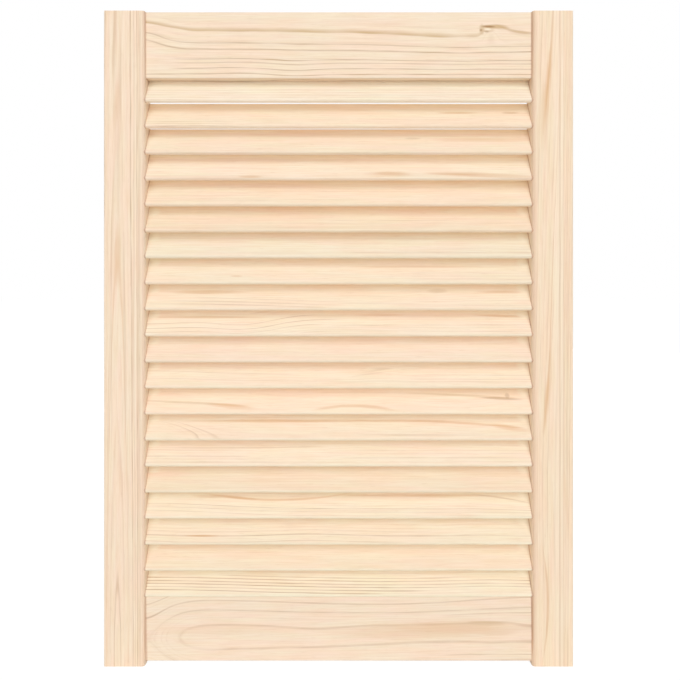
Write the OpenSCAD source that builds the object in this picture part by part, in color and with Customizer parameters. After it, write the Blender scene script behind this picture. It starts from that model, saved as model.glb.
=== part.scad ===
// Louvred cabinet door in solid pine: two stiles, two rails and twenty fixed sloping slats.
// Origin at the middle of the bottom end, +X to the right, the face towards -Y, +Z up.

/* [Door] */
// Width of the door
door_w = 494; // [400:1:600]
// Height of the door, which is the length of the stiles
door_h = 690; // [640:1:760]
// Thickness of the door, which is the thickness of the stiles
door_t = 21; // [20:0.5:26]

/* [Stiles and rails] */
// Width of each stile
stile_w = 43; // [40:1:60]
// Width of the top rail
top_rail_w = 70; // [60:1:90]
// Width of the bottom rail
bottom_rail_w = 73; // [60:1:90]
// How far the rails lie back from the faces of the stiles, in front and behind
rail_recess = 3; // [1:0.5:4]
// Radius along the inner edges of the stiles, at most the rail recess
inner_edge_r = 3; // [1:0.5:4]
// Radius along the outer edges of the stiles
outer_edge_r = 1; // [0.5:0.25:2]
// Radius along the long edges of the rails
rail_edge_r = 1; // [0.5:0.25:2]
// How far the stiles stand below the bottom rail
bottom_horn = 4; // [0:0.5:10]

/* [Slats] */
// Thickness of a slat, whose long edges are fully round
slat_t = 5; // [4:0.25:6]
// Slope of a slat from upright, in degrees
slat_angle = 29.5; // [27:0.5:36]
// How far the round edges of a slat stay inside the faces of the stiles
slat_setback = 0.75; // [0.5:0.25:1.5]
// Distance from a rail to the middle line of the slat next to it
slat_margin = 10.5; // [9:0.25:14]

/* [Joints] */
// Depth of the housings cut into the stiles for the slats
housing_depth = 9; // [6:0.5:12]
// Clearance round a slat in its housing
slat_clearance = 0.1; // [0.05:0.05:0.3]
// Gap between the end of a slat and the bottom of its housing
slat_end_gap = 0.5; // [0.25:0.25:2]
// Diameter of a dowel
dowel_d = 8; // [6:0.5:10]
// Length of a dowel, half of it in the stile and half in the rail
dowel_l = 40; // [24:1:60]
// Clearance round a dowel in its hole, on the radius
dowel_clearance = 0.05; // [0.02:0.01:0.2]
// Gap between the end of a dowel and the bottom of its hole
dowel_end_gap = 1; // [0.5:0.25:2]
// Distance between the two dowels of a joint
dowel_spacing = 32; // [20:1:40]
// Chamfer on the ends of a dowel
dowel_chamfer = 1; // [0.5:0.25:2]

/* [Hidden] */
$fn = 64;
slat_count = 20;

// Signs that say which end of the door a stile or a dowel is at
left = -1;
right = 1;
upper = 1;
lower = -1;
// How far a cutting solid runs past the face that it cuts
past = 1;

opening_w = door_w - 2 * stile_w;
stile_edge_r = min(inner_edge_r, rail_recess);
rail_t = door_t - 2 * rail_recess;
top_rail_z = door_h - top_rail_w;
bottom_rail_z = bottom_horn;
bottom_rail_top = bottom_rail_z + bottom_rail_w;

slat_r = slat_t / 2;
slat_run = door_t - 2 * slat_setback - slat_t;
slat_flat = slat_run / sin(slat_angle);
slat_l = opening_w + 2 * (housing_depth - slat_end_gap);
slat_pitch = (top_rail_z - bottom_rail_top - 2 * slat_margin) / (slat_count - 1);

top_joint_z = top_rail_z + top_rail_w / 2;
bottom_joint_z = bottom_rail_z + bottom_rail_w / 2;
dowel_hole_r = dowel_d / 2 + dowel_clearance;
dowel_hole_l = dowel_l + 2 * dowel_end_gap;

// Height of the middle line of slat n, counted from the top
function slat_z(n) = top_rail_z - slat_margin - (n - 1) * slat_pitch;

// What a round edge takes off a square corner at the origin
module corner_waste(r) {
    difference() {
        translate([-past, -past]) square(r + past);
        translate([r, r]) circle(r);
    }
}

// The end of a board, w by t from the origin: near_r rounds the corners at x = 0, far_r those at x = w
module board_section(w, t, near_r, far_r) {
    difference() {
        square([w, t]);
        corner_waste(near_r);
        translate([0, t]) mirror([0, 1]) corner_waste(near_r);
        translate([w, 0]) mirror([1, 0]) corner_waste(far_r);
        translate([w, t]) rotate(180) corner_waste(far_r);
    }
}

// A round-edged slat along X, centred on its own middle, or its housing with a clearance all round
module slat_bar(length, clearance) {
    rotate([-slat_angle, 0, 0]) {
        cube([length, slat_t + 2 * clearance, slat_flat], center = true);
        for (edge = [upper, lower]) translate([0, 0, edge * slat_flat / 2])
            rotate([0, 90, 0]) cylinder(r = slat_r + clearance, h = length, center = true);
    }
}

// The room that every slat takes, out to the bottom of its housings
module slat_housings() {
    for (n = [1:slat_count]) translate([0, 0, slat_z(n)])
        slat_bar(opening_w + 2 * housing_depth, slat_clearance);
}

// Lays what stands on Z along X, centred in one dowel's place: at a rail's end, above or below its middle
module at_dowel(joint_z, side, level) {
    translate([side * opening_w / 2, 0, joint_z + level * dowel_spacing / 2])
        rotate([0, 90, 0]) children();
}

// The holes for all eight dowels
module dowel_holes() {
    for (joint_z = [top_joint_z, bottom_joint_z], side = [left, right], level = [upper, lower])
        at_dowel(joint_z, side, level) cylinder(r = dowel_hole_r, h = dowel_hole_l, center = true);
}

// A stile, with its inner edges rounded over, housed for the slats and drilled for the rails' dowels
module stile(side) {
    difference() {
        mirror([side == left ? 1 : 0, 0, 0]) translate([opening_w / 2, -door_t / 2, 0])
            linear_extrude(door_h) board_section(stile_w, door_t, stile_edge_r, outer_edge_r);
        slat_housings();
        dowel_holes();
    }
}

// A rail between the stiles, cut back where the slat next to it passes and drilled for dowels
module rail(z, w) {
    difference() {
        translate([-opening_w / 2, -rail_t / 2, z]) rotate([90, 0, 90])
            linear_extrude(opening_w) board_section(rail_t, w, rail_edge_r, rail_edge_r);
        slat_housings();
        dowel_holes();
    }
}

// Slat n, counted from the top
module slat(n) {
    color([0.98, 0.90, 0.77]) translate([0, 0, slat_z(n)]) slat_bar(slat_l, 0);
}

// A beech dowel with chamfered ends
module dowel(joint_z, side, level) {
    end_r = dowel_d / 2 - dowel_chamfer;
    color([0.85, 0.70, 0.52]) at_dowel(joint_z, side, level) rotate_extrude()
        polygon([
            [0, -dowel_l / 2], [end_r, -dowel_l / 2],
            [dowel_d / 2, -dowel_l / 2 + dowel_chamfer], [dowel_d / 2, dowel_l / 2 - dowel_chamfer],
            [end_r, dowel_l / 2], [0, dowel_l / 2]]);
}

module left_stile() { color([0.97, 0.88, 0.77]) stile(left); }
module right_stile() { color([0.98, 0.89, 0.78]) stile(right); }
module top_rail() { color([0.98, 0.90, 0.79]) rail(top_rail_z, top_rail_w); }
module bottom_rail() { color([0.97, 0.89, 0.79]) rail(bottom_rail_z, bottom_rail_w); }

left_stile();
right_stile();
top_rail();
bottom_rail();
slat(1);  // slat_01
slat(2);  // slat_02
slat(3);  // slat_03
slat(4);  // slat_04
slat(5);  // slat_05
slat(6);  // slat_06
slat(7);  // slat_07
slat(8);  // slat_08
slat(9);  // slat_09
slat(10);  // slat_10
slat(11);  // slat_11
slat(12);  // slat_12
slat(13);  // slat_13
slat(14);  // slat_14
slat(15);  // slat_15
slat(16);  // slat_16
slat(17);  // slat_17
slat(18);  // slat_18
slat(19);  // slat_19
slat(20);  // slat_20
dowel(top_joint_z, left, upper);  // dowel_top_left_upper
dowel(top_joint_z, left, lower);  // dowel_top_left_lower
dowel(top_joint_z, right, upper);  // dowel_top_right_upper
dowel(top_joint_z, right, lower);  // dowel_top_right_lower
dowel(bottom_joint_z, left, upper);  // dowel_bottom_left_upper
dowel(bottom_joint_z, left, lower);  // dowel_bottom_left_lower
dowel(bottom_joint_z, right, upper);  // dowel_bottom_right_upper
dowel(bottom_joint_z, right, lower);  // dowel_bottom_right_lower
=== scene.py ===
import math

import bpy
from mathutils import Euler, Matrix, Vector


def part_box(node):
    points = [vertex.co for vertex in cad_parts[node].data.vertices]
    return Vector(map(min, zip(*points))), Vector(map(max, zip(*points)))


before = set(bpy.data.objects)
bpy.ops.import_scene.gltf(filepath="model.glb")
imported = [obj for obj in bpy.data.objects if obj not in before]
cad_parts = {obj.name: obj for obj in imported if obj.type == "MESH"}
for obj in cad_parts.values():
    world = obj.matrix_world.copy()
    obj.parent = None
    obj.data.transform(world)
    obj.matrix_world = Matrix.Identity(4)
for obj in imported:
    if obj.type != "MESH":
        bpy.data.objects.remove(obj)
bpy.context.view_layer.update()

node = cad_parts


# The camera stands square to the door, a little under arm's length away and above the door's middle,
# with the lens shifted down so that the whole door is in the picture.
camera_distance = 0.61
camera_height = 0.397
camera_right = 0.0015
view_width = 0.7152
view_middle_height = 0.3435
sensor_width_mm = 36
nearest_shown = 0.01

door_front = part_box("left_stile")[0].y
camera_data = bpy.data.cameras.new("camera")
camera_data.sensor_width = sensor_width_mm
camera_data.lens = sensor_width_mm * camera_distance / view_width
camera_data.shift_y = (view_middle_height - camera_height) / view_width
camera_data.clip_start = nearest_shown
camera = bpy.data.objects.new("camera", camera_data)
camera.location = (camera_right, door_front - camera_distance, camera_height)
camera.rotation_euler = (math.radians(90), 0, 0)
bpy.context.scene.collection.objects.link(camera)
bpy.context.scene.camera = camera
bpy.context.scene.view_settings.view_transform = "Standard"


# A broad soft key lamp, high in front and a little to the right, throws the short shadows under the slats,
# and a much wider one overhead makes them fade out slowly. Softboxes beside the camera fill them, and one
# behind lights the back. A share of 1 would light a white board that faces the lamp to full white.
key_share = 0.322
key_elevation = 41
key_azimuth = 12
key_softness = 38
overhead_share = 0.12
overhead_elevation = 62
overhead_azimuth = -5
overhead_softness = 90
left_fill_share = 0.183
left_fill_azimuth = -33
right_fill_share = 0.173
right_fill_azimuth = 22
rear_fill_share = 0.5
rear_fill_azimuth = 165
softbox_distance = 3.5
softbox_height = 0.85
softbox_width = 1.6
softbox_rise = 1.7
fill_colour = (0.975, 0.99, 1)
room_strength = 0.27


def far_lamp(name, share, elevation, azimuth, softness):
    """A lamp so far away that its light falls the same on every part of the door."""
    lamp_data = bpy.data.lights.new(name, "SUN")
    lamp_data.energy = share * math.pi
    lamp_data.angle = math.radians(softness)
    lamp = bpy.data.objects.new(name, lamp_data)
    lamp.rotation_euler = (math.radians(90 - elevation), 0, math.radians(azimuth))
    bpy.context.scene.collection.objects.link(lamp)


far_lamp("key", key_share, key_elevation, key_azimuth, key_softness)
far_lamp("overhead", overhead_share, overhead_elevation, overhead_azimuth, overhead_softness)


def softbox(name, share, azimuth):
    """A flat lamp that stands upright and faces the door."""
    box_data = bpy.data.lights.new(name, "AREA")
    box_data.shape = "RECTANGLE"
    box_data.size = softbox_width
    box_data.size_y = softbox_rise
    box_data.color = fill_colour
    box_data.energy = share * (math.pi * softbox_distance) ** 2
    box = bpy.data.objects.new(name, box_data)
    turn = math.radians(azimuth)
    box.location = (softbox_distance * math.sin(turn), -softbox_distance * math.cos(turn), softbox_height)
    box.rotation_euler = (math.radians(90), 0, turn)
    box.visible_camera = False
    bpy.context.scene.collection.objects.link(box)


softbox("left_fill", left_fill_share, left_fill_azimuth)
softbox("right_fill", right_fill_share, right_fill_azimuth)
softbox("rear_fill", rear_fill_share, rear_fill_azimuth)


def seen_directly(nodes, links):
    """1 for what the camera sees straight, mirrored or through glass, and 0 for light on the object."""
    path = nodes.new("ShaderNodeLightPath")
    mirror = nodes.new("ShaderNodeMath")
    mirror.operation = "MAXIMUM"
    links.new(path.outputs["Is Camera Ray"], mirror.inputs[0])
    links.new(path.outputs["Is Glossy Ray"], mirror.inputs[1])
    either = nodes.new("ShaderNodeMath")
    either.operation = "MAXIMUM"
    links.new(mirror.outputs[0], either.inputs[0])
    links.new(path.outputs["Is Transmission Ray"], either.inputs[1])
    return either.outputs[0]


def white_room():
    """A world that lights the door softly and shows itself as plain white."""
    world = bpy.data.worlds.new("white_room")
    world.use_nodes = True
    nodes, links = world.node_tree.nodes, world.node_tree.links
    nodes.clear()
    light = nodes.new("ShaderNodeBackground")
    light.inputs["Color"].default_value = fill_colour + (1,)
    light.inputs["Strength"].default_value = room_strength
    white = nodes.new("ShaderNodeBackground")
    white.inputs["Color"].default_value = (1, 1, 1, 1)
    white.inputs["Strength"].default_value = 1
    mix = nodes.new("ShaderNodeMixShader")
    links.new(seen_directly(nodes, links), mix.inputs["Fac"])
    links.new(light.outputs[0], mix.inputs[1])
    links.new(white.outputs[0], mix.inputs[2])
    links.new(mix.outputs[0], nodes.new("ShaderNodeOutputWorld").inputs["Surface"])
    return world


bpy.context.scene.world = white_room()


# The floor is plain, white and wide. Where the camera sees it, it mostly glows, so that it looks almost
# pure white, and a small share of it takes light, which keeps a faint shadow of the door.
floor_width = 40
floor_white = (0.8, 0.8, 0.8, 1)
floor_shade = 0.25
floor_glow = 0.89

bpy.ops.mesh.primitive_plane_add(size=floor_width)
floor = bpy.context.object
floor.name = "floor"


def floor_material():
    """White paint for the light that the floor throws back, and the glow for what the camera sees of it."""
    material = bpy.data.materials.new("floor_white")
    material.use_nodes = True
    nodes, links = material.node_tree.nodes, material.node_tree.links
    nodes.clear()
    lit = nodes.new("ShaderNodeBsdfDiffuse")
    lit.inputs["Color"].default_value = floor_white
    shade = nodes.new("ShaderNodeBsdfDiffuse")
    shade.inputs["Color"].default_value = [floor_shade * channel for channel in floor_white[:3]] + [1]
    glow = nodes.new("ShaderNodeEmission")
    glow.inputs["Strength"].default_value = floor_glow
    white = nodes.new("ShaderNodeAddShader")
    links.new(shade.outputs[0], white.inputs[0])
    links.new(glow.outputs[0], white.inputs[1])
    mix = nodes.new("ShaderNodeMixShader")
    links.new(seen_directly(nodes, links), mix.inputs["Fac"])
    links.new(lit.outputs[0], mix.inputs[1])
    links.new(white.outputs[0], mix.inputs[2])
    links.new(mix.outputs[0], nodes.new("ShaderNodeOutputMaterial").inputs["Surface"])
    return material


floor.data.materials.append(floor_material())


# The stiles are the two upright pine boards, planed and sanded but left raw. The slats are housed in
# them and the rails are dowelled to them. Both are flat-sawn: the left board has faint pointed figures
# that open downwards, and the right board has long lines that end in brown tips. Painted shade darkens
# their inner rounded edges, and painted light makes their inner side faces paler.
mm_per_metre = 1000
stile_lowest, stile_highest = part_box("left_stile")
stile_half_width = (stile_highest.x - stile_lowest.x) / 2 * mm_per_metre
opening_half = -stile_highest.x * mm_per_metre
stile_turn = (math.radians(90), 0, math.radians(90))
stile_wear = 0.8
# The worn stripes lie this many mm towards a stile's outer side, so that its inner edge has none.
wear_shift = 10.0
raw_wood_gloss = 0.25


def middle_of(name):
    """The middle of a piece's box."""
    lowest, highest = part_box(name)
    return (Vector(lowest) + Vector(highest)) / 2


def connect(tree, sockets, values):
    """Links each socket to a value that comes from another node, or writes a plain value into it."""
    for socket, value in zip(sockets, values):
        if isinstance(value, bpy.types.NodeSocket):
            tree.links.new(value, socket)
        else:
            socket.default_value = value


def step(tree, operation, *values):
    """One sum on up to three numbers."""
    worker = tree.nodes.new("ShaderNodeMath")
    worker.operation = operation
    connect(tree, worker.inputs, values)
    return worker.outputs[0]


def fade(tree, value, start, end, low=0.0, high=1.0):
    """Goes smoothly from low to high while the value goes from start to end."""
    worker = tree.nodes.new("ShaderNodeMapRange")
    worker.interpolation_type = "SMOOTHSTEP"
    connect(tree, worker.inputs[:5], (value, start, end, low, high))
    return worker.outputs[0]


def stretched_noise(tree, board, along, across, seed, detail):
    """Noise with spots about along by across mm, as wood fibres lie. It gives 0 to 1."""
    spread = tree.nodes.new("ShaderNodeVectorMath")
    spread.operation = "MULTIPLY_ADD"
    connect(tree, spread.inputs, (board, (1 / along, 1 / across, 1 / across), seed))
    noise = tree.nodes.new("ShaderNodeTexNoise")
    noise.inputs["Scale"].default_value = 1
    noise.inputs["Detail"].default_value = detail
    tree.links.new(spread.outputs[0], noise.inputs["Vector"])
    return noise.outputs[0]


def line_noise(tree, place):
    """Noise along a line, from 0 to 1."""
    noise = tree.nodes.new("ShaderNodeTexNoise")
    noise.noise_dimensions = "1D"
    noise.inputs["Scale"].default_value = 1
    noise.inputs["Detail"].default_value = 0
    tree.links.new(place, noise.inputs["W"])
    return noise.outputs[0]


def swing(tree, noise):
    """Noise that goes from 0 to 1, moved so that it swings about 0."""
    return step(tree, "SUBTRACT", noise, 0.5)


def tint(tree, share, wood, colour):
    """The wood with a share of a colour in it."""
    mix = tree.nodes.new("ShaderNodeMix")
    mix.data_type = "RGBA"
    connect(tree, (mix.inputs[0], mix.inputs[6], mix.inputs[7]), (share, wood, colour))
    return mix.outputs[2]


def stain(tree, wood, strength):
    """The colour times a red, green and blue strength."""
    worker = tree.nodes.new("ShaderNodeVectorMath")
    worker.operation = "MULTIPLY"
    connect(tree, worker.inputs, (wood, strength))
    return worker.outputs[0]


def apart(tree, vector):
    """A vector's three numbers. On a board they are the places along, across and deep."""
    split = tree.nodes.new("ShaderNodeSeparateXYZ")
    tree.links.new(vector, split.inputs[0])
    return split.outputs[0], split.outputs[1], split.outputs[2]


def spread_seed(tree, seed):
    """A seed as a vector, which moves a noise pattern to another place."""
    join = tree.nodes.new("ShaderNodeCombineXYZ")
    connect(tree, join.inputs, (seed, seed, seed))
    return join.outputs[0]


def effect(name, inputs, outputs):
    """An empty node group with its named sockets. A colour is given as four numbers, a vector as three."""
    tree = bpy.data.node_groups.new(name, "ShaderNodeTree")
    kinds = {1: "NodeSocketFloat", 3: "NodeSocketVector", 4: "NodeSocketColor"}
    for label, value in inputs.items():
        size = len(value) if isinstance(value, tuple) else 1
        socket = tree.interface.new_socket(name=label, in_out="INPUT", socket_type=kinds[size])
        socket.default_value = value
    for label, size in outputs.items():
        tree.interface.new_socket(name=label, in_out="OUTPUT", socket_type=kinds[size])
    given = tree.nodes.new("NodeGroupInput").outputs
    result = tree.nodes.new("NodeGroupOutput").inputs
    return tree, given, result


def use(tree, group, **values):
    """Places a group. A socket called Ring Width is written ring_width."""
    worker = tree.nodes.new("ShaderNodeGroup")
    worker.node_tree = group
    labels = [label.replace("_", " ").title() for label in values]
    connect(tree, [worker.inputs[label] for label in labels], values.values())
    return worker.outputs


def make_growth_rings():
    """How far a point lies from the heart of the tree, in mm. Board holds along, across and depth in mm."""
    slow_share = 3.0
    tree, given, result = effect("growth_rings", {
        "Board": (0.0, 0.0, 0.0), "Heart Across": -60.0, "Heart Depth": 10.0, "Taper": 0.0,
        "Waver": 0.5, "Seed": 0.0}, {"Ring": 1})
    along, across, depth = apart(tree, given["Board"])
    sideways = step(tree, "SUBTRACT", across, given["Heart Across"])
    inwards = step(tree, "SUBTRACT", depth, given["Heart Depth"])
    square = step(tree, "MULTIPLY_ADD", inwards, inwards, step(tree, "MULTIPLY", sideways, sideways))
    ring = step(tree, "MULTIPLY_ADD", along, given["Taper"], step(tree, "SQRT", square))
    seed = spread_seed(tree, given["Seed"])
    slow = swing(tree, stretched_noise(tree, given["Board"], along=95, across=16, seed=seed, detail=1))
    quick = swing(tree, stretched_noise(tree, given["Board"], along=24, across=7, seed=seed, detail=0))
    both = step(tree, "MULTIPLY_ADD", slow, slow_share, quick)
    tree.links.new(step(tree, "MULTIPLY_ADD", both, given["Waver"], ring), result["Ring"])
    return tree


def make_ring_bend():
    """Where the grain swings round something, such as a branch: Push mm at the middle of the place."""
    tree, given, result = effect("ring_bend", {
        "Board": (0.0, 0.0, 0.0), "Ring": 0.0, "Along": 0.0, "Across": 0.0,
        "Reach Along": 50.0, "Reach Across": 20.0, "Push": 1.0}, {"Ring": 1})
    along, across = apart(tree, given["Board"])[:2]
    far = step(tree, "DIVIDE", step(tree, "SUBTRACT", along, given["Along"]), given["Reach Along"])
    off = step(tree, "DIVIDE", step(tree, "SUBTRACT", across, given["Across"]), given["Reach Across"])
    square = step(tree, "MULTIPLY_ADD", far, far, step(tree, "MULTIPLY", off, off))
    nearness = step(tree, "EXPONENT", step(tree, "MULTIPLY", square, -1))
    tree.links.new(step(tree, "MULTIPLY_ADD", nearness, given["Push"], given["Ring"]), result["Ring"])
    return tree


def make_ring_line():
    """One strong ring: its late wood darkens over Fade mm and then stops sharply."""
    stop_width = 0.55
    end_fade = 12.0
    waves_per_mm = 0.03
    seed_per_mm = 7.3
    weakest = 0.45
    strength_range = 1.1
    tree, given, result = effect("ring_line", {
        "Board": (0.0, 0.0, 0.0), "Ring": 0.0, "Radius": 60.0, "Fade": 1.0,
        "Start": -400.0, "End": 1000.0, "Strength": 0.4}, {"Line": 1})
    along = apart(tree, given["Board"])[0]
    inside = step(tree, "SUBTRACT", given["Radius"], given["Fade"])
    outside = step(tree, "ADD", given["Radius"], stop_width)
    rise = fade(tree, given["Ring"], inside, given["Radius"])
    fall = fade(tree, given["Ring"], given["Radius"], outside, low=1.0, high=0.0)
    enter = fade(tree, step(tree, "SUBTRACT", along, given["Start"]), -end_fade, end_fade)
    leave = fade(tree, step(tree, "SUBTRACT", along, given["End"]), -end_fade, end_fade, low=1.0, high=0.0)
    line = step(tree, "MULTIPLY", step(tree, "MULTIPLY", rise, fall), step(tree, "MULTIPLY", enter, leave))
    ring_seed = step(tree, "MULTIPLY", given["Radius"], seed_per_mm)
    place = step(tree, "MULTIPLY_ADD", along, waves_per_mm, ring_seed)
    uneven = step(tree, "MULTIPLY_ADD", line_noise(tree, place), strength_range, weakest)
    strength = step(tree, "MULTIPLY", given["Strength"], uneven)
    tree.links.new(step(tree, "MULTIPLY", line, strength), result["Line"])
    return tree


def make_resin_streak():
    """A soft streak of dark wood along the grain, widest in its middle. Slope and Curve bend it."""
    raggedness = 0.9
    outermost = 1.25
    streak_seed = (7.0, 7.0, 7.0)
    tree, given, result = effect("resin_streak", {
        "Board": (0.0, 0.0, 0.0), "Along": 0.0, "Across": 0.0, "Half Length": 20.0, "Half Width": 1.5,
        "Slope": 0.0, "Curve": 0.0, "Strength": 0.4}, {"Streak": 1})
    along, across = apart(tree, given["Board"])[:2]
    from_middle = step(tree, "SUBTRACT", along, given["Along"])
    slant = step(tree, "MULTIPLY_ADD", from_middle, given["Curve"], given["Slope"])
    middle = step(tree, "MULTIPLY_ADD", from_middle, slant, given["Across"])
    far = step(tree, "DIVIDE", from_middle, given["Half Length"])
    off = step(tree, "DIVIDE", step(tree, "SUBTRACT", across, middle), given["Half Width"])
    square = step(tree, "MULTIPLY_ADD", far, far, step(tree, "MULTIPLY", off, off))
    fibres = stretched_noise(tree, given["Board"], along=26, across=0.9, seed=streak_seed, detail=1)
    ragged = step(tree, "ADD", square, step(tree, "MULTIPLY", swing(tree, fibres), raggedness))
    patch = fade(tree, ragged, 0.0, outermost, low=1.0, high=0.0)
    tree.links.new(step(tree, "MULTIPLY", patch, given["Strength"]), result["Streak"])
    return tree


def make_edge_wear_and_light():
    """Stripes on a board's two long edges, broken up by the fibres: abrasion on the stiles and rails,
    and a painted highlight on the slats.
    """
    corner_width = 0.3
    wear_seed = (3.0, 3.0, 3.0)
    tree, given, result = effect("edge_wear_and_light", {
        "Board": (0.0, 0.0, 0.0), "Middle": 0.0, "Half Width": 20.0, "Reach": 2.4}, {"Wear And Light": 1})
    across = apart(tree, given["Board"])[1]
    off = step(tree, "ABSOLUTE", step(tree, "SUBTRACT", across, given["Middle"]))
    inner = step(tree, "SUBTRACT", given["Half Width"], given["Reach"])
    corner = step(tree, "SUBTRACT", given["Half Width"], corner_width)
    stripe = fade(tree, off, inner, given["Half Width"])
    rim = step(tree, "MULTIPLY", stripe, fade(tree, off, corner, given["Half Width"], low=1.0, high=0.2))
    fibres = stretched_noise(tree, given["Board"], along=30, across=1.2, seed=wear_seed, detail=1)
    broken = fade(tree, fibres, start=0.3, end=0.65, low=0.35, high=1.0)
    tree.links.new(step(tree, "MULTIPLY", rim, broken), result["Wear And Light"])
    return tree


def make_pine_wood():
    """Sanded pine: rings of late wood, fine fibres, resin ducts, and patches of pink and of cream."""
    width_waves = 0.5
    strength_waves = 1.1
    late_start = 0.35
    late_end = 0.9
    fibre_share_mean = 0.35
    fibre_share_swing = 2.6
    fibre_stain = (0.945, 0.9, 0.85)
    green_stain = (0.985, 1.005, 0.985)
    pink_stain = (1.005, 0.975, 0.965)
    cream_stain = (1.0, 1.0, 0.98)
    chalk_stain = (1.0, 1.0, 1.01)
    end_stain = (0.88, 0.82, 0.75)
    cream_seed = (11.0, 11.0, 11.0)
    sanded_roughness = 0.56
    end_roughness = 0.2
    fibre_roughness = 0.2
    late_roughness = -0.25
    fibre_height = 0.8
    late_height = -1.2
    tree, given, result = effect("pine_wood", {
        "Board": (0.0, 0.0, 0.0), "Ring": 0.0, "End Grain": 0.0, "Seed": 0.0, "Ring Width": 2.8,
        "Contrast": 0.2, "Pale Wood": (0.9, 0.75, 0.6, 1.0), "Dark Wood": (0.6, 0.4, 0.22, 1.0)},
        {"Color": 4, "Roughness": 1, "Height": 1})
    board = given["Board"]
    seed = spread_seed(tree, given["Seed"])

    count = step(tree, "ADD", step(tree, "DIVIDE", given["Ring"], given["Ring Width"]), given["Seed"])
    uneven = line_noise(tree, step(tree, "MULTIPLY", count, width_waves))
    part = step(tree, "FRACT", step(tree, "ADD", count, uneven))
    darkens = fade(tree, part, late_start, late_end)
    stops = fade(tree, part, late_end, 1.0, low=1.0, high=0.0)
    each_ring = line_noise(tree, step(tree, "MULTIPLY", count, strength_waves))
    marked = fade(tree, each_ring, start=0.35, end=0.65, low=0.15, high=1.0)
    gaps = stretched_noise(tree, board, along=80, across=5, seed=seed, detail=0)
    broken = fade(tree, gaps, start=0.3, end=0.7, low=0.3, high=1.2)
    late = step(tree, "MULTIPLY", step(tree, "MULTIPLY", darkens, stops), marked)
    late = step(tree, "MULTIPLY", step(tree, "MULTIPLY", late, given["Contrast"]), broken)

    fibre = swing(tree, stretched_noise(tree, board, along=36, across=1.5, seed=seed, detail=3))
    duct_noise = stretched_noise(tree, board, along=11, across=0.5, seed=seed, detail=0)
    ducts = fade(tree, duct_noise, start=0.66, end=0.8, low=0.0, high=0.15)
    fibre_share = step(tree, "MULTIPLY_ADD", fibre, fibre_share_swing, fibre_share_mean)
    colour = tint(tree, fibre_share, given["Pale Wood"], stain(tree, given["Pale Wood"], fibre_stain))
    colour = tint(tree, step(tree, "ADD", late, ducts), colour, given["Dark Wood"])

    pink_noise = stretched_noise(tree, board, along=75, across=10, seed=seed, detail=1)
    pink = fade(tree, pink_noise, start=0.35, end=0.65)
    colour = tint(tree, pink, stain(tree, colour, green_stain), stain(tree, colour, pink_stain))
    cream_noise = stretched_noise(tree, board, along=42, across=6, seed=cream_seed, detail=1)
    chalk = fade(tree, cream_noise, start=0.35, end=0.65)
    colour = tint(tree, chalk, stain(tree, colour, cream_stain), stain(tree, colour, chalk_stain))
    colour = tint(tree, given["End Grain"], colour, stain(tree, colour, end_stain))
    tree.links.new(colour, result["Color"])

    plain = step(tree, "MULTIPLY_ADD", given["End Grain"], end_roughness, sanded_roughness)
    rough = step(tree, "MULTIPLY_ADD", fibre, fibre_roughness, plain)
    tree.links.new(step(tree, "MULTIPLY_ADD", late, late_roughness, rough), result["Roughness"])
    late_dip = step(tree, "MULTIPLY", late, late_height)
    tree.links.new(step(tree, "MULTIPLY_ADD", fibre, fibre_height, late_dip), result["Height"])
    return tree


growth_rings = make_growth_rings()
ring_bend = make_ring_bend()
ring_line = make_ring_line()
resin_streak = make_resin_streak()
edge_wear_and_light = make_edge_wear_and_light()
pine_wood = make_pine_wood()


def paint(red, green, blue):
    """The colour that a screen shows as these 0 to 255 values."""
    shown = [channel / 255 for channel in (red, green, blue)]
    return tuple(c / 12.92 if c <= 0.04045 else ((c + 0.055) / 1.055) ** 2.4 for c in shown) + (1.0,)


dark_wood = paint(196, 152, 108)
ring_wood = paint(196, 160, 124)
brown_wood = paint(212, 160, 106)
amber_wood = paint(222, 172, 120)
tan_wood = paint(226, 186, 146)
pale_wood = paint(254, 240, 218)
worn_wood = paint(238, 224, 206)
# Dark lines at the joints: the joint's own darkness and painted shade of the crease.
joint_and_shade_wood = paint(176, 118, 84)
# Painted shade, for the stiles' inner rounded edges and for the shadow edges on some slats.
painted_shade_wood = paint(222, 184, 156)


def wood_material(name):
    """A new material and its node tree."""
    material = bpy.data.materials.new(name)
    material.use_nodes = True
    return material, material.node_tree


def board_places(tree, origin, turn):
    """Places in the board's own mm from origin, and 0 to 1 for how squarely a face cuts the grain."""
    texture = tree.nodes.new("ShaderNodeTexCoord")
    mapping = tree.nodes.new("ShaderNodeMapping")
    mapping.inputs["Scale"].default_value = [mm_per_metre] * 3
    mapping.inputs["Rotation"].default_value = turn
    mapping.inputs["Location"].default_value = Euler(turn).to_matrix() @ (Vector(origin) * -mm_per_metre)
    tree.links.new(texture.outputs["Object"], mapping.inputs["Vector"])
    normal = tree.nodes.new("ShaderNodeVectorRotate")
    normal.rotation_type = "EULER_XYZ"
    connect(tree, (normal.inputs["Vector"], normal.inputs["Rotation"]), (texture.outputs["Normal"], turn))
    facing = step(tree, "ABSOLUTE", apart(tree, normal.outputs[0])[0])
    return mapping.outputs[0], fade(tree, facing, start=0.6, end=0.9)


def finish_wood(tree, wood, colour, relief, relief_height):
    """Gives the shader the wood's colour, its roughness and the relief of its fibres."""
    shader = tree.nodes["Principled BSDF"]
    bump = tree.nodes.new("ShaderNodeBump")
    bump.inputs["Strength"].default_value = relief
    bump.inputs["Distance"].default_value = relief_height
    tree.links.new(wood["Height"], bump.inputs["Height"])
    tree.links.new(colour, shader.inputs["Base Color"])
    tree.links.new(wood["Roughness"], shader.inputs["Roughness"])
    tree.links.new(bump.outputs[0], shader.inputs["Normal"])
    shader.inputs["Specular IOR Level"].default_value = raw_wood_gloss


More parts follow.
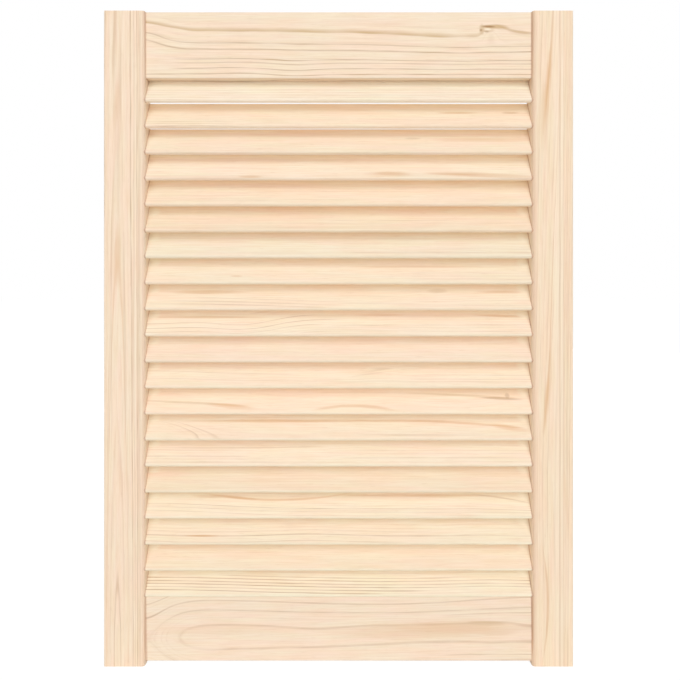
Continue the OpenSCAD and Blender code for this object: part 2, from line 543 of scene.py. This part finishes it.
def pine(name, pale, origin, turn, heart, middle, half_width, ring_width, contrast, waver, seed,
         taper=0.0, bends=(), lines=(), streaks=(),
         wear_and_light=0.5, wear_and_light_reach=2.4, wear_and_light_colour=worn_wood, joint=None):
    """Raw pine, laid out in the board's own mm from origin. heart is how far across and how deep the tree's
    heart is. Two stripes lie half_width from middle and reach inwards by their reach, in their colour and at
    their strength: abrasion on the stiles and rails, and a painted highlight along the slats' front edges.
    bends: along, across, reach along, reach across, push. lines: radius, fade, strength, start, end, colour.
    streaks: along, across, half length, half width, slope, curve, strength, colour.
    joint: where a dark joint line starts along the board, and its strength at the left and the right end.
    The line is the joint's own darkness with painted shade of the crease in it."""
    material, tree = wood_material(name)
    board, end_grain = board_places(tree, origin, turn)
    ring = use(tree, growth_rings, board=board, heart_across=heart[0], heart_depth=heart[1],
               taper=taper, waver=waver, seed=seed)[0]
    for along, across, reach_along, reach_across, push in bends:
        ring = use(tree, ring_bend, board=board, ring=ring, along=along, across=across,
                   reach_along=reach_along, reach_across=reach_across, push=push)[0]
    wood = use(tree, pine_wood, board=board, ring=ring, end_grain=end_grain, seed=seed,
               ring_width=ring_width, contrast=contrast, pale_wood=pale, dark_wood=dark_wood)
    colour = wood["Color"]
    for radius, width, strength, start, end, shade in lines:
        line = use(tree, ring_line, board=board, ring=ring, radius=radius, fade=width, start=start,
                   end=end, strength=strength)[0]
        colour = tint(tree, line, colour, shade)
    for along, across, half_length, half_streak, slope, curve, strength, shade in streaks:
        streak = use(tree, resin_streak, board=board, along=along, across=across, half_length=half_length,
                     half_width=half_streak, slope=slope, curve=curve, strength=strength)[0]
        colour = tint(tree, streak, colour, shade)
    wear_and_light_mask = use(tree, edge_wear_and_light, board=board, middle=middle, half_width=half_width, reach=wear_and_light_reach)[0]
    colour = tint(tree, step(tree, "MULTIPLY", wear_and_light_mask, wear_and_light), colour, wear_and_light_colour)
    if joint:
        joint_start, left_strength, right_strength = joint
        along = apart(tree, board)[0]
        left = fade(tree, along, -joint_start, -opening_half, high=left_strength)
        right = fade(tree, along, joint_start, opening_half, high=right_strength)
        colour = tint(tree, step(tree, "ADD", left, right), colour, joint_and_shade_wood)
    finish_wood(tree, wood, colour, relief=0.5, relief_height=0.00012)
    return material


node["left_stile"].data.materials[0] = pine(
    "pine_left_stile", paint(250, 228, 205), (middle_of("left_stile").x, door_front, 0), stile_turn,
    heart=(-7, 16), middle=wear_shift, half_width=stile_half_width + wear_shift, ring_width=2.9,
    contrast=0.28, waver=0.4, seed=1.0, wear_and_light=stile_wear,
    bends=[(0, -7, 300, 12, -12)],
    lines=[(14.5, 0.5, 0.45, -50, 480, tan_wood), (5.1, 0.5, 0.4, -50, 135, ring_wood),
           (21.1, 0.9, 0.5, -50, 800, ring_wood), (26.0, 0.8, 0.55, -50, 800, ring_wood),
           (23.6, 0.6, 0.2, -50, 800, ring_wood), (28.6, 0.8, 0.35, -50, 800, ring_wood)],
    streaks=[(520, -6, 55, 2.0, 0, 0, 0.16, ring_wood), (655, -11, 45, 2.2, 0, 0, 0.14, ring_wood),
             (431, -7.2, 15, 2.2, 0, 0, 0.2, tan_wood), (345, -18, 900, 3.0, 0, 0, 0.12, tan_wood),
             (338, 0.5, 110, 1.6, -0.012, 0, 0.22, ring_wood), (345, 9.3, 110, 1.0, 0, 0, 0.3, ring_wood),
             (345, 15.2, 300, 0.9, 0, 0, 0.22, ring_wood), (345, -13.6, 130, 0.8, 0, 0, 0.2, ring_wood),
             (338, 11.4, 110, 0.9, 0, 0, 0.5, pale_wood),
             # Painted shade along the inner rounded edge, and painted light on the inner side face.
             (345, 19.7, 900, 1.7, 0, 0, 0.32, painted_shade_wood), (345, 22.0, 900, 0.8, 0, 0, 0.5, pale_wood),
             # Dark lines where the rails meet the inner edge: the joint's own darkness and painted shade of
             # the crease.
             (663, 21.5, 62, 1.1, 0, 0, 0.3, joint_and_shade_wood), (42, 21.5, 42, 1.1, 0, 0, 0.35, joint_and_shade_wood)])
node["right_stile"].data.materials[0] = pine(
    "pine_right_stile", paint(250, 227, 201), (middle_of("right_stile").x, door_front, 0), stile_turn,
    heart=(-30, 8), middle=-wear_shift, half_width=stile_half_width + wear_shift, ring_width=2.7,
    contrast=0.28, waver=0.4, seed=2.0, wear_and_light=stile_wear, taper=-0.008,
    bends=[(760, 5, 260, 14, -11), (200, -8, 120, 12, 4)],
    lines=[(25.8, 0.8, 0.45, 318, 800, brown_wood), (34.0, 0.8, 0.2, -50, 800, ring_wood),
           (37.5, 0.8, 0.25, -50, 800, ring_wood), (40.0, 0.7, 0.25, -50, 800, ring_wood),
           (43.0, 0.9, 0.25, -50, 800, ring_wood), (46.0, 0.8, 0.25, -50, 800, ring_wood)],
    streaks=[(345, 4.0, 900, 4.5, 0, 0, 0.3, pale_wood), (345, 9.4, 900, 1.8, 0, 0, 0.35, pale_wood),
             (345, 7.3, 900, 0.9, 0, 0, 0.3, ring_wood), (330, 11.3, 900, 0.9, 0, 0, 0.14, ring_wood),
             (345, 15.0, 900, 1.1, 0, 0, 0.08, ring_wood),
             (645, -2.5, 86, 1.4, 0.072, -0.00035, 0.3, brown_wood),
             (610, -5.5, 46, 3.6, 0.08, 0, 0.42, amber_wood),
             (606, -6.0, 30, 1.8, 0.09, 0, 0.14, brown_wood),
             (300, -4.9, 58, 1.6, 0.075, -0.0003, 0.34, brown_wood),
             (280, -6.5, 38, 3.0, 0.08, 0, 0.36, amber_wood),
             (65, -5.4, 66, 1.5, 0, -0.00154, 0.42, brown_wood),
             # Painted shade along the inner rounded edge, darker on this side.
             (345, -19.7, 900, 1.7, 0, 0, 0.36, painted_shade_wood), (345, -18.9, 900, 3.2, 0, 0, 0.2, painted_shade_wood),
             # Painted light on the inner side face.
             (345, -22.0, 900, 0.8, 0, 0, 0.5, pale_wood),
             # Dark lines at the rails: the joint's own darkness and painted shade of the crease, stronger
             # here.
             (663, -21.5, 62, 1.4, 0, 0, 0.45, joint_and_shade_wood), (42, -21.5, 42, 1.4, 0, 0, 0.55, joint_and_shade_wood),
             (577, -9.5, 40, 6.0, 0, 0, 0.28, tan_wood), (89, 15, 60, 5.0, 0, 0, 0.25, pale_wood)])


# The rails are the two cross boards, set back from the faces of the stiles and dowelled between them.
# The top one has a small knot near its right end, with the grain swinging round it. The bottom one shows
# a long pointed figure that opens to the right, with a reddish stripe inside it.
rail_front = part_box("top_rail")[0].y
rail_turn = math.radians(90)
bottom_grain_turn = math.radians(0.955)
# Dark lines at the rail ends: the joint's own darkness and painted shade of the crease, stronger on the
# right.
rail_joint_and_shade_start = 202.6
umber_wood = paint(204, 168, 120)
knot_wood = paint(168, 126, 80)
bottom_rail_wood = paint(248, 228, 207)


def rail_sizes(name):
    """The height of a rail's top edge in metres, and half the rail's width in mm."""
    lowest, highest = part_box(name)
    return highest.z, (highest.z - lowest.z) / 2 * mm_per_metre


top_edge, half_rail = rail_sizes("top_rail")
node["top_rail"].data.materials[0] = pine(
    "pine_top_rail", paint(250, 229, 206), (0, rail_front, top_edge), (rail_turn, 0, 0),
    heart=(4, 40), middle=half_rail, half_width=half_rail, ring_width=2.5, contrast=0.16, waver=0.45,
    seed=3.0,
    bends=[(-212, 28, 32, 18, 6.5), (130, 34, 120, 22, -2.8), (161, 25, 8, 7, 5.4),
           (-45, 62, 26, 16, -1.5), (-105, 62, 28, 16, 1.0)],
    lines=[(43.1, 1.7, 0.65, -300, 150, umber_wood), (49.4, 0.9, 0.5, -300, 300, ring_wood),
           (53.5, 0.9, 0.65, -300, 300, ring_wood), (61.0, 0.8, 0.7, -170, 300, ring_wood),
           (64.0, 0.8, 0.5, -170, 300, ring_wood), (68.8, 0.8, 0.65, -170, 300, ring_wood),
           (73.8, 0.9, 0.7, -300, 300, ring_wood)],
    streaks=[(188, 20.7, 23, 1.7, 0.2, -0.006, 0.55, umber_wood),
             (164, 15.4, 16, 2.6, 0, 0, 0.6, umber_wood),
             (151.4, 18.5, 3.2, 6.4, 0, 0, 0.5, umber_wood), (158, 18.4, 8, 4.2, 0, 0, 0.35, umber_wood),
             (170, 16.2, 12, 2.8, 0.1, 0, 0.5, umber_wood), (158.5, 15.4, 8, 1.2, 0.02, 0, 0.9, knot_wood),
             (150.5, 19.2, 1.8, 1.6, 0, 0, 0.6, knot_wood), (157.5, 18.2, 4.5, 1.2, 0, 0, 0.8, pale_wood),
             (156.5, 20.8, 3, 1.1, 0, 0, 0.5, knot_wood),
             (192, 22, 14, 3.5, 0.15, 0, 0.25, umber_wood), (-70, 50.3, 16, 1.0, 0.05, 0, 0.4, umber_wood)],
    joint=(rail_joint_and_shade_start, 0.4, 0.5))

top_edge, half_rail = rail_sizes("bottom_rail")
node["bottom_rail"].data.materials[0] = pine(
    "pine_bottom_rail", bottom_rail_wood, (0, rail_front, top_edge), (rail_turn, 0, bottom_grain_turn),
    heart=(45.2, 22), middle=half_rail, half_width=half_rail, ring_width=2.5, contrast=0.14, waver=0.4,
    seed=4.0,
    bends=[(-207, 40, 32, 60, 16), (60, 14, 150, 20, 7), (-28, 36, 45, 10, 1.4), (100, 58, 110, 14, 2),
           (205, 38, 26, 16, 2.5)],
    lines=[(54.0, 0.9, 0.35, -300, -150, ring_wood), (45.4, 1.2, 0.42, -300, 300, ring_wood),
           (37.3, 1.4, 0.12, -300, 300, ring_wood), (37.3, 1.2, 0.32, -176, 300, ring_wood),
           (33.2, 0.8, 0.36, 118, 300, ring_wood), (26.2, 1.4, 0.1, -300, 300, ring_wood),
           (26.2, 1.2, 0.26, -150, 300, ring_wood)],
    streaks=[(100, 41.5, 115, 11, -0.01, 0, 0.39, tan_wood), (115, 40, 60, 6, 0, 0, 0.25, tan_wood),
             (154, 35.5, 22, 2.8, 0.03, 0, 0.35, umber_wood), (168, 45, 24, 4.5, 0, 0, 0.22, tan_wood),
             (-120, 38, 80, 7, 0, 0, 0.2, tan_wood), (-144, 57, 28, 3.2, 0, 0, 0.6, bottom_rail_wood)],
    joint=(rail_joint_and_shade_start, 0.4, 0.75))


# The twenty slats are thin round-edged strips of pine from many different boards, so each has its own
# figure and tone. Their ends sit in slanting housings in the stiles, where a thin dark line shows, partly
# the joint and partly painted shade of the crease. The lower slats carry a painted highlight along their
# front edges, and painted light beside the housings that lifts the shade in the recess corners. Some
# slats carry painted shadow along their upper part, which lengthens the shadow of the slat above.
slat_slope = 29.5
slat_turn = (math.radians(90 + slat_slope), 0, 0)
slat_highlight_edge = 17.9
usual_heart = (-60, 10)
usual_waver = 0.4
finest_rings = 2.4
ring_step = 0.3
first_seed = 10.0
seed_step = 3.7
# From the fifth slat down, a painted highlight lies along the front edges, stronger on each lower slat.
last_slat_without_highlight = 4
highlight_step = 0.08
slat_highlight_reach = 3.4
# From the sixth slat down, painted light beside the housings lifts the shade in the recess corners.
last_slat_without_end_light = 5
end_light_along = 199
# Dark lines at the slat ends: the joint's own darkness and painted shade of the crease.
slat_joint_and_shade = (202.8, 0.55, 0.65)
pink_wood = paint(240, 202, 176)
# The colour of the painted highlight and of the painted light in the recess corners.
painted_highlight_wood = paint(255, 247, 222)

# Streaks in the painted shade colour on slats 2 to 5 and 10 are painted shadow under the slat above.
slat_figures = {
    1: dict(tone=(252, 238, 216), contrast=0.2,
            lines=[(63.0, 0.8, 0.3, -300, 300, ring_wood), (67.4, 0.8, 0.2, -300, 300, ring_wood),
                   (70.6, 0.8, 0.28, -300, 300, ring_wood), (74.1, 0.8, 0.3, -300, 300, ring_wood)]),
    2: dict(tone=(250, 229, 204), contrast=0.12,
            lines=[(71.1, 0.8, 0.4, -195, -120, ring_wood), (74.0, 0.8, 0.3, -195, -120, ring_wood),
                   (77.0, 0.8, 0.4, -195, -120, ring_wood)],
            streaks=[(0, -9, 260, 3.5, 0, 0, 0.18, painted_shade_wood), (127, -2.2, 24, 1.9, 0, 0, 0.5, brown_wood),
                     (183, -2.2, 10, 1.8, 0, 0, 0.45, dark_wood)]),
    3: dict(tone=(249, 229, 205), contrast=0.12,
            streaks=[(0, -8, 260, 3.0, 0, 0, 0.25, painted_shade_wood), (150, -0.4, 62, 3.4, 0, 0, 0.3, brown_wood),
                     (79, -2.4, 10, 1.7, 0, 0, 0.22, knot_wood)]),
    4: dict(tone=(251, 232, 209), contrast=0.12,
            streaks=[(-90, -8.5, 150, 3.2, 0, 0, 0.3, painted_shade_wood),
                     (-140, 15.5, 75, 2.6, 0, 0, 0.4, pink_wood),
                     (-93, 14.6, 14, 1.8, 0, 0, 0.4, brown_wood),
                     (54, 10.9, 30, 4.6, 0, 0, 0.36, tan_wood),
                     (56, 10.7, 20, 2.6, 0.02, 0, 0.4, brown_wood),
                     (152, 12.4, 62, 3.6, 0.045, 0, 0.4, brown_wood),
                     (122, 11.4, 34, 1.8, 0.035, 0, 0.4, brown_wood)]),
    5: dict(tone=(250, 229, 204), contrast=0.12,
            lines=[(62.7, 0.8, 0.15, -300, -60, ring_wood), (66.3, 0.8, 0.2, -300, -60, ring_wood),
                   (69.9, 0.8, 0.2, -300, -60, ring_wood), (73.6, 0.8, 0.2, -300, -60, ring_wood)],
            streaks=[(-90, -8.3, 150, 3.2, 0, 0, 0.25, painted_shade_wood)]),
    6: dict(tone=(247, 225, 199), contrast=0.14,
            lines=[(65.0, 0.8, 0.25, -10, 120, ring_wood), (68.7, 0.8, 0.15, -100, 300, ring_wood),
                   (74.8, 0.8, 0.2, -300, 100, ring_wood)]),
    7: dict(tone=(246, 230, 207), contrast=0.12,
            lines=[(61.8, 0.8, 0.15, 0, 300, ring_wood), (68.6, 0.8, 0.24, 90, 300, ring_wood),
                   (73.1, 0.9, 0.12, -300, 0, ring_wood), (73.1, 0.9, 0.35, 10, 300, ring_wood)]),
    8: dict(tone=(249, 230, 206), contrast=0.1,
            lines=[(66.3, 0.8, 0.24, 80, 300, ring_wood), (69.9, 0.8, 0.28, 80, 300, ring_wood),
                   (73.6, 0.8, 0.24, 80, 300, ring_wood)],
            streaks=[(-108, 8.7, 7, 1.3, 0, 0, 0.3, brown_wood), (90, -3, 85, 1.6, 0, 0, 0.3, brown_wood)]),
    9: dict(tone=(250, 230, 206), contrast=0.12, bends=[(106, -4, 40, 14, -3.5)],
            lines=[(67.8, 0.8, 0.2, 80, 300, ring_wood), (74.0, 0.8, 0.25, 80, 300, ring_wood),
                   (63.0, 0.8, 0.15, 0, 80, ring_wood), (71.0, 0.8, 0.2, 0, 80, ring_wood)],
            streaks=[(-139, -3.2, 46, 2.6, 0, 0, 0.4, brown_wood),
                     (-95, 12.4, 110, 0.9, 0.028, 0.00012, 0.35, ring_wood),
                     (-95, 9.0, 105, 0.9, 0.03, 0.00012, 0.3, ring_wood),
                     (-80, 5.6, 80, 0.9, 0.035, 0, 0.25, ring_wood),
                     (106, -4.6, 12, 2.8, 0, 0, 0.22, knot_wood),
                     (173, -3.6, 28, 2.0, 0, 0, 0.35, brown_wood)]),
    10: dict(tone=(251, 232, 209), contrast=0.14, bends=[(-205, 5, 80, 30, -11), (-100, 5, 45, 30, -10)],
             lines=[(54.1, 0.9, 0.45, -300, -20, ring_wood), (59.8, 0.9, 0.5, -300, 0, ring_wood),
                    (65.0, 0.9, 0.4, -300, -20, ring_wood), (66.5, 0.8, 0.4, 0, 300, ring_wood),
                    (69.4, 0.8, 0.18, -20, 300, ring_wood), (73.5, 0.8, 0.32, -40, 300, ring_wood)],
             streaks=[(-140, -4, 70, 1.4, 0, 0, 0.45, brown_wood),
                      (45, -6.6, 30, 1.6, 0, 0, 0.35, brown_wood),
                      (100, -6.0, 130, 2.6, 0, 0, 0.2, painted_shade_wood),
                      (175, -5.4, 30, 1.6, 0.04, 0, 0.45, brown_wood)]),
    11: dict(tone=(248, 226, 204), contrast=0.08),
    12: dict(tone=(250, 230, 206), contrast=0.12, bends=[(-205, 0, 85, 30, 3.8), (40, -4, 22, 12, 3.5)],
             lines=[(63.8, 0.8, 0.3, -300, -50, ring_wood), (71.3, 0.8, 0.16, -300, 0, ring_wood),
                    (72.2, 0.8, 0.16, 0, 300, ring_wood), (64.6, 0.8, 0.22, 90, 300, ring_wood),
                    (69.2, 0.8, 0.28, 80, 300, ring_wood)],
             streaks=[(38, -1.5, 16, 1.2, -0.15, 0, 0.22, ring_wood),
                      (34, 2.0, 18, 1.1, -0.12, 0, 0.2, ring_wood),
                      (46, -4.0, 14, 1.6, 0, 0, 0.3, ring_wood)]),
    13: dict(tone=(253, 230, 206), contrast=0.08, heart=(22, 14),
             bends=[(-58, 20, 30, 28, 6.5), (125, 20, 62, 28, 6.5)],
             streaks=[(-156, 5.4, 64, 1.6, 0.05, 0, 0.4, umber_wood),
                      (-114, 9.2, 28, 3.0, 0.1, 0, 0.38, amber_wood),
                      (-114, 8.4, 26, 1.4, 0.11, 0, 0.25, amber_wood),
                      (16, 8.7, 46, 1.9, 0, 0.0028, 0.42, amber_wood),
                      (38, 10.4, 22, 2.8, 0.12, 0, 0.3, tan_wood),
                      (-10, 10.4, 18, 2.6, -0.12, 0, 0.3, tan_wood),
                      (136, -2.6, 72, 1.5, 0.05, 0, 0.4, umber_wood),
                      (173, 0.7, 24, 1.6, 0.04, 0, 0.5, knot_wood),
                      (180, -2.4, 3, 3.4, 0, 0, 0.35, knot_wood)]),
    14: dict(tone=(248, 228, 204), contrast=0.08, heart=(16, 10), bends=[(-214, 16, 55, 30, -30)],
             lines=[(5.6, 1.1, 0.36, -184, -60, ring_wood), (9.8, 1.0, 0.36, -172, -60, ring_wood)],
             streaks=[(-60, -3.0, 105, 2.0, 0, 0, 0.5, brown_wood),
                      (60, -3.2, 60, 1.5, 0, 0, 0.4, brown_wood),
                      (135, -0.5, 76, 1.5, 0.065, 0.0004, 0.45, brown_wood),
                      (182, 4.6, 24, 3.4, 0.18, 0, 0.42, amber_wood),
                      (85, 12.2, 75, 0.9, 0, 0, 0.3, ring_wood)]),
    15: dict(tone=(250, 231, 208), contrast=0.14, waver=0.2,
             lines=[(62.0, 0.8, 0.35, -300, -100, ring_wood), (68.3, 0.8, 0.42, -300, -100, ring_wood),
                    (71.2, 0.8, 0.2, -300, -60, ring_wood), (74.5, 0.8, 0.34, -300, -60, ring_wood),
                    (62.6, 0.8, 0.18, 0, 300, ring_wood), (65.9, 0.8, 0.3, 0, 300, ring_wood),
                    (70.1, 0.8, 0.4, 10, 300, ring_wood), (74.0, 0.8, 0.14, 60, 300, ring_wood)],
             streaks=[(-110, -1.6, 95, 1.0, -0.006, -0.00012, 0.35, ring_wood)]),
    16: dict(tone=(245, 224, 198), contrast=0.1, streaks=[(-185, -1, 36, 3.2, 0, 0, 0.3, pink_wood)]),
    17: dict(tone=(250, 232, 207), contrast=0.15, waver=0.2,
             bends=[(-205, 8, 110, 60, 5.6), (215, -2, 40, 10, -7)],
             lines=[(69.2, 0.8, 0.45, -300, 300, ring_wood), (72.4, 0.8, 0.3, -300, 300, ring_wood),
                    (76.1, 0.8, 0.24, -300, 300, ring_wood), (66.1, 0.8, 0.14, -40, 300, ring_wood)],
             streaks=[(-140, -4.5, 18, 1.5, 0.05, 0, 0.3, brown_wood),
                      (-66, -1.0, 84, 1.4, 0, -0.00117, 0.45, brown_wood),
                      (-112, -3.8, 28, 1.7, 0.08, 0, 0.45, brown_wood),
                      (80, -5.6, 90, 1.6, 0, 0, 0.4, brown_wood),
                      (175, -3.0, 34, 1.0, 0.15, 0.001, 0.4, ring_wood)]),
    18: dict(tone=(247, 229, 204), contrast=0.18, waver=0.2,
             bends=[(-30, 8, 50, 60, 1.9), (-205, 8, 30, 60, 1.4), (149, 8, 25, 60, 0.9)],
             lines=[(70.4, 0.9, 0.6, -300, 140, ring_wood), (70.4, 0.9, 0.3, 140, 300, ring_wood),
                    (66.2, 0.8, 0.24, -300, 90, ring_wood), (76.5, 0.8, 0.35, -300, 60, ring_wood)],
             streaks=[(-145, 9.0, 20, 1.3, 0, 0, 0.6, brown_wood)]),
    19: dict(tone=(247, 226, 200), contrast=0.1),
    20: dict(tone=(248, 233, 208), contrast=0.2, waver=0.15,
             bends=[(-205, 8, 150, 60, 4.3), (165, 8, 55, 60, 1.7)],
             lines=[(61.7, 0.9, 0.55, -120, 120, ring_wood), (64.6, 0.9, 0.8, -300, 60, ring_wood),
                    (64.6, 0.9, 0.55, 60, 300, ring_wood), (67.7, 0.9, 0.75, -300, 40, ring_wood),
                    (67.7, 0.9, 0.55, 40, 300, ring_wood), (70.4, 0.9, 0.85, -300, 60, ring_wood),
                    (70.4, 0.9, 0.5, 60, 300, ring_wood), (73.4, 0.9, 0.4, -300, 0, ring_wood),
                    (73.4, 0.9, 0.8, 0, 90, ring_wood), (76.2, 0.9, 0.7, -300, 40, ring_wood)])}

for number, figure in slat_figures.items():
    slat_name = f"slat_{number:02d}"
    end_lights = []
    # Painted light that lifts the shade in the recess corners at both ends.
    if number > last_slat_without_end_light:
        end_lights = [(end, -8, 9, 7, 0, 0, 0.5, painted_highlight_wood) for end in (-end_light_along, end_light_along)]
    node[slat_name].data.materials[0] = pine(
        f"pine_{slat_name}", paint(*figure["tone"]), middle_of(slat_name), slat_turn,
        heart=figure.get("heart", usual_heart), middle=0.0, half_width=slat_highlight_edge,
        ring_width=finest_rings + ring_step * (number % 3), contrast=figure["contrast"],
        waver=figure.get("waver", usual_waver), seed=first_seed + number * seed_step,
        bends=figure.get("bends", ()), lines=figure.get("lines", ()),
        streaks=[*figure.get("streaks", ()), *end_lights],
        # A painted highlight along the front edges, stronger on each lower slat.
        wear_and_light=highlight_step * max(0, number - last_slat_without_highlight), wear_and_light_reach=slat_highlight_reach,
        wear_and_light_colour=painted_highlight_wood, joint=slat_joint_and_shade)


# Eight turned beech dowels hold the rails to the stiles, glued in and out of sight once the door is shut
# up. Beech is plain and reddish, with very faint rings and short dark flecks.
beech_heart = (-45.0, 20.0)
pale_beech = paint(230, 194, 156)
dark_beech = paint(176, 124, 84)
fleck_beech = paint(160, 108, 72)
fleck_seed = (3.0, 3.0, 3.0)


def beech(name, origin):
    """Plain beech round the middle of a dowel that lies along X."""
    material, tree = wood_material(name)
    board, end_grain = board_places(tree, origin, (0, 0, 0))
    ring = use(tree, growth_rings, board=board, heart_across=beech_heart[0], heart_depth=beech_heart[1],
               waver=0.2)[0]
    wood = use(tree, pine_wood, board=board, ring=ring, end_grain=end_grain, ring_width=1.6, contrast=0.4,
               pale_wood=pale_beech, dark_wood=dark_beech)
    fleck_noise = stretched_noise(tree, board, along=1.6, across=0.3, seed=fleck_seed, detail=0)
    flecks = fade(tree, fleck_noise, start=0.6, end=0.75, low=0.0, high=0.5)
    colour = tint(tree, flecks, wood["Color"], fleck_beech)
    finish_wood(tree, wood, colour, relief=0.4, relief_height=0.0001)
    return material


for end in ("top", "bottom"):
    for side in ("left", "right"):
        for level in ("upper", "lower"):
            dowel_name = f"dowel_{end}_{side}_{level}"
            beech_name = f"beech_{end}_{side}_{level}"
            node[dowel_name].data.materials[0] = beech(beech_name, middle_of(dowel_name))
